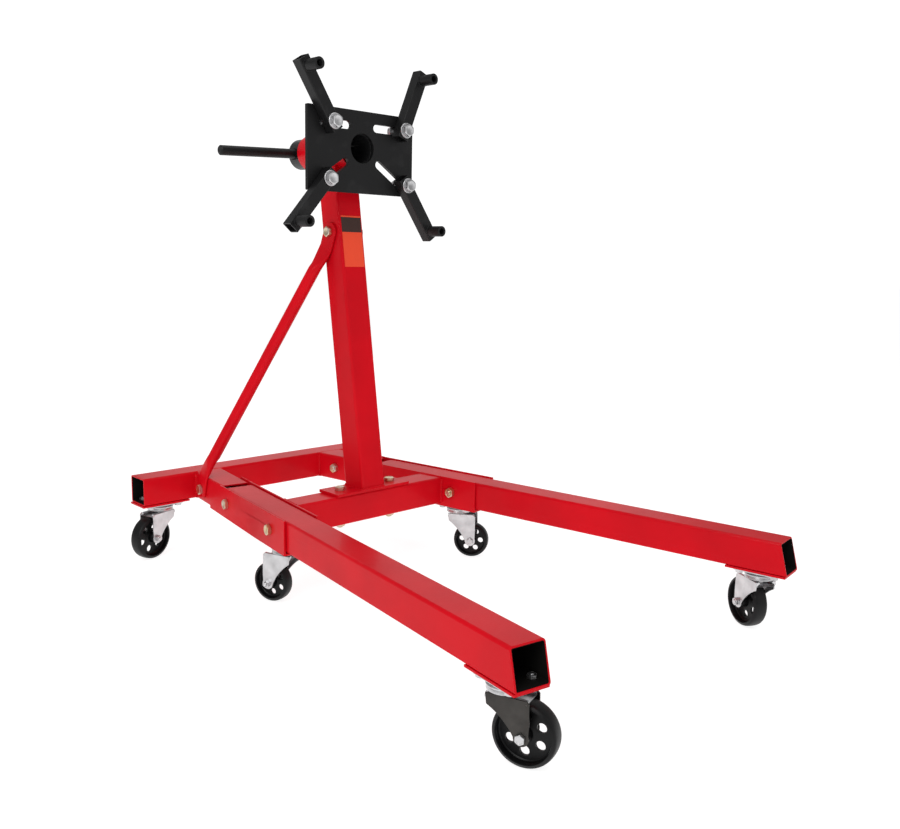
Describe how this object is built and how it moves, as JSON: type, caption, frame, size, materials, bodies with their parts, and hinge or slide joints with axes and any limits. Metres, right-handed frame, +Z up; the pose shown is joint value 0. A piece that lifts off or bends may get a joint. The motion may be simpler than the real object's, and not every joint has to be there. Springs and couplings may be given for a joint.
{
  "type": "engine stand",
  "caption": "Folding engine stand on swivel casters, with a braced leaning upright and a rotating head that carries adjustable slotted mounting arms.",
  "frame": {"origin": "on the floor, under the middle of the stand's bounding box", "axes": "+X the way the legs point and the head faces, +Y to the left of a person who stands behind the stand and looks along +X, +Z up"},
  "size_m": [1.2133, 0.762, 1.041],
  "materials": {
    "red_paint": "glossy red enamel",
    "black_paint": "satin black paint",
    "zinc_yellow": "yellow zinc plating",
    "zinc_clear": "bright zinc plating",
    "wheel_black": "black moulded wheel"
  },
  "bodies": {
    "frame": {"brace_bolts": "zinc_yellow", "brace_left": "red_paint", "brace_right": "red_paint", "bracket_floor_plates": "red_paint", "bracket_plates_left": "red_paint", "bracket_plates_right": "red_paint", "caster_mounts_frame": "zinc_clear", "center_crossbar": "red_paint", "foot_plate_bolts": "zinc_yellow", "frame_nuts": "zinc_yellow", "head_sleeve": "red_paint", "leg_lock_bolts": "zinc_yellow", "leg_pivot_bolts": "zinc_yellow", "rear_caster_plates": "red_paint", "rear_crossbar": "red_paint", "stub_tube_left": "red_paint", "stub_tube_right": "red_paint", "upright_foot_plate": "red_paint", "upright_tube": "red_paint"},
    "leg_right": {"leg_right": "red_paint", "leg_caster_plate_right": "red_paint", "caster_mount_front_right": "zinc_clear"},
    "leg_left": {"leg_left": "red_paint", "leg_caster_plate_left": "red_paint", "caster_mount_front_left": "zinc_clear"},
    "caster_swivel_rear_right": {"caster_fork_rear_right": "zinc_clear", "caster_pins_rear_right": "zinc_clear"},
    "caster_wheel_rear_right": {"caster_wheel_rear_right": "wheel_black"},
    "caster_swivel_rear_left": {"caster_fork_rear_left": "zinc_clear", "caster_pins_rear_left": "zinc_clear"},
    "caster_wheel_rear_left": {"caster_wheel_rear_left": "wheel_black"},
    "caster_swivel_middle_right": {"caster_fork_middle_right": "zinc_clear", "caster_pins_middle_right": "zinc_clear"},
    "caster_wheel_middle_right": {"caster_wheel_middle_right": "wheel_black"},
    "caster_swivel_middle_left": {"caster_fork_middle_left": "zinc_clear", "caster_pins_middle_left": "zinc_clear"},
    "caster_wheel_middle_left": {"caster_wheel_middle_left": "wheel_black"},
    "caster_swivel_front_right": {"caster_fork_front_right": "zinc_clear", "caster_pins_front_right": "zinc_clear"},
    "caster_wheel_front_right": {"caster_wheel_front_right": "wheel_black"},
    "caster_swivel_front_left": {"caster_fork_front_left": "zinc_clear", "caster_pins_front_left": "zinc_clear"},
    "caster_wheel_front_left": {"caster_wheel_front_left": "wheel_black"},
    "head": {"mounting_plate": "black_paint", "rotating_tube": "black_paint"},
    "turning_bar": {"turning_bar": "black_paint"},
    "head_lock_screw": {"head_lock_screw": "zinc_clear"},
    "arm_clamp_upper_right": {"arm_fasteners_upper_right": "zinc_clear"},
    "arm_upper_right": {"arm_tube_upper_right": "black_paint", "arm_bush_upper_right": "black_paint"},
    "arm_clamp_upper_left": {"arm_fasteners_upper_left": "zinc_clear"},
    "arm_upper_left": {"arm_tube_upper_left": "black_paint", "arm_bush_upper_left": "black_paint"},
    "arm_clamp_lower_right": {"arm_fasteners_lower_right": "zinc_clear"},
    "arm_lower_right": {"arm_tube_lower_right": "black_paint", "arm_bush_lower_right": "black_paint"},
    "arm_clamp_lower_left": {"arm_fasteners_lower_left": "zinc_clear"},
    "arm_lower_left": {"arm_tube_lower_left": "black_paint", "arm_bush_lower_left": "black_paint"}
  },
  "joints": [
    {"name": "leg_right_fold", "type": "hinge", "parent": "frame", "child": "leg_right", "pos_m": [-0.35589, -0.19835, 0.152], "axis": [-0.1564, -0.9877, 0], "range_deg": [0, 90]},
    {"name": "leg_left_fold", "type": "hinge", "parent": "frame", "child": "leg_left", "pos_m": [-0.35589, 0.19835, 0.152], "axis": [0.1564, -0.9877, 0], "range_deg": [0, 90]},
    {"name": "caster_swivel_rear_right", "type": "hinge", "parent": "frame", "child": "caster_swivel_rear_right", "pos_m": [-0.5775, -0.271, 0.1], "axis": [0, 0, 1], "continuous": true},
    {"name": "wheel_spin_rear_right", "type": "hinge", "parent": "caster_swivel_rear_right", "child": "caster_wheel_rear_right", "pos_m": [-0.56761, -0.30143, 0.047], "axis": [0.9511, 0.309, 0], "continuous": true},
    {"name": "caster_swivel_rear_left", "type": "hinge", "parent": "frame", "child": "caster_swivel_rear_left", "pos_m": [-0.5775, 0.271, 0.1], "axis": [0, 0, 1], "continuous": true},
    {"name": "wheel_spin_rear_left", "type": "hinge", "parent": "caster_swivel_rear_left", "child": "caster_wheel_rear_left", "pos_m": [-0.56922, 0.30191, 0.047], "axis": [-0.9659, 0.2588, 0], "continuous": true},
    {"name": "caster_swivel_middle_right", "type": "hinge", "parent": "frame", "child": "caster_swivel_middle_right", "pos_m": [-0.14749, -0.23136, 0.1], "axis": [0, 0, 1], "continuous": true},
    {"name": "wheel_spin_middle_right", "type": "hinge", "parent": "caster_swivel_middle_right", "child": "caster_wheel_middle_right", "pos_m": [-0.17568, -0.24162, 0.039], "axis": [0.342, -0.9397, 0], "continuous": true},
    {"name": "caster_swivel_middle_left", "type": "hinge", "parent": "frame", "child": "caster_swivel_middle_left", "pos_m": [-0.14749, 0.23136, 0.1], "axis": [0, 0, 1], "continuous": true},
    {"name": "wheel_spin_middle_left", "type": "hinge", "parent": "caster_swivel_middle_left", "child": "caster_wheel_middle_left", "pos_m": [-0.12291, 0.24856, 0.039], "axis": [-0.5736, 0.8192, 0], "continuous": true},
    {"name": "caster_swivel_front_right", "type": "hinge", "parent": "leg_right", "child": "caster_swivel_front_right", "pos_m": [0.52908, -0.33851, 0.1], "axis": [0, 0, 1], "continuous": true},
    {"name": "wheel_spin_front_right", "type": "hinge", "parent": "caster_swivel_front_right", "child": "caster_wheel_front_right", "pos_m": [0.55915, -0.32757, 0.047], "axis": [-0.342, 0.9397, 0], "continuous": true},
    {"name": "caster_swivel_front_left", "type": "hinge", "parent": "leg_left", "child": "caster_swivel_front_left", "pos_m": [0.52908, 0.33851, 0.1], "axis": [0, 0, 1], "continuous": true},
    {"name": "wheel_spin_front_left", "type": "hinge", "parent": "caster_swivel_front_left", "child": "caster_wheel_front_left", "pos_m": [0.50057, 0.35304, 0.047], "axis": [-0.454, -0.891, 0], "continuous": true},
    {"name": "head_rotation", "type": "hinge", "parent": "frame", "child": "head", "pos_m": [-0.3055, 0, 0.876], "axis": [1, 0, 0], "continuous": true},
    {"name": "turning_bar_slide", "type": "slide", "parent": "head", "child": "turning_bar", "axis": [0, 0.999, 0.0436], "range_m": [-0.05, 0.165]},
    {"name": "head_lock_screw_travel", "type": "slide", "parent": "frame", "child": "head_lock_screw", "axis": [0, 0, 1], "range_m": [-0.0004, 0.012]},
    {"name": "arm_slide_upper_right", "type": "slide", "parent": "head", "child": "arm_clamp_upper_right", "axis": [0, -1, 0], "range_m": [-0.051, 0.009]},
    {"name": "arm_pivot_upper_right", "type": "hinge", "parent": "arm_clamp_upper_right", "child": "arm_upper_right", "pos_m": [-0.2105, -0.087, 0.918], "axis": [-1, 0, 0], "range_deg": [-30, 30]},
    {"name": "arm_slide_upper_left", "type": "slide", "parent": "head", "child": "arm_clamp_upper_left", "axis": [0, 1, 0], "range_m": [-0.057, 0.009]},
    {"name": "arm_pivot_upper_left", "type": "hinge", "parent": "arm_clamp_upper_left", "child": "arm_upper_left", "pos_m": [-0.2105, 0.093, 0.918], "axis": [1, 0, 0], "range_deg": [-30, 30]},
    {"name": "arm_slide_lower_right", "type": "slide", "parent": "head", "child": "arm_clamp_lower_right", "axis": [0, -0.8381, -0.5455], "range_m": [-0.06621, 0.00896]},
    {"name": "arm_pivot_lower_right", "type": "hinge", "parent": "arm_clamp_lower_right", "child": "arm_lower_right", "pos_m": [-0.2105, -0.0975, 0.8109], "axis": [-1, 0, 0], "range_deg": [-30, 30]},
    {"name": "arm_slide_lower_left", "type": "slide", "parent": "head", "child": "arm_clamp_lower_left", "axis": [0, 0.8379, -0.5459], "range_m": [-0.06981, 0.00896]},
    {"name": "arm_pivot_lower_left", "type": "hinge", "parent": "arm_clamp_lower_left", "child": "arm_lower_left", "pos_m": [-0.2105, 0.1005, 0.8089], "axis": [1, 0, 0], "range_deg": [-30, 30]}
  ]
}
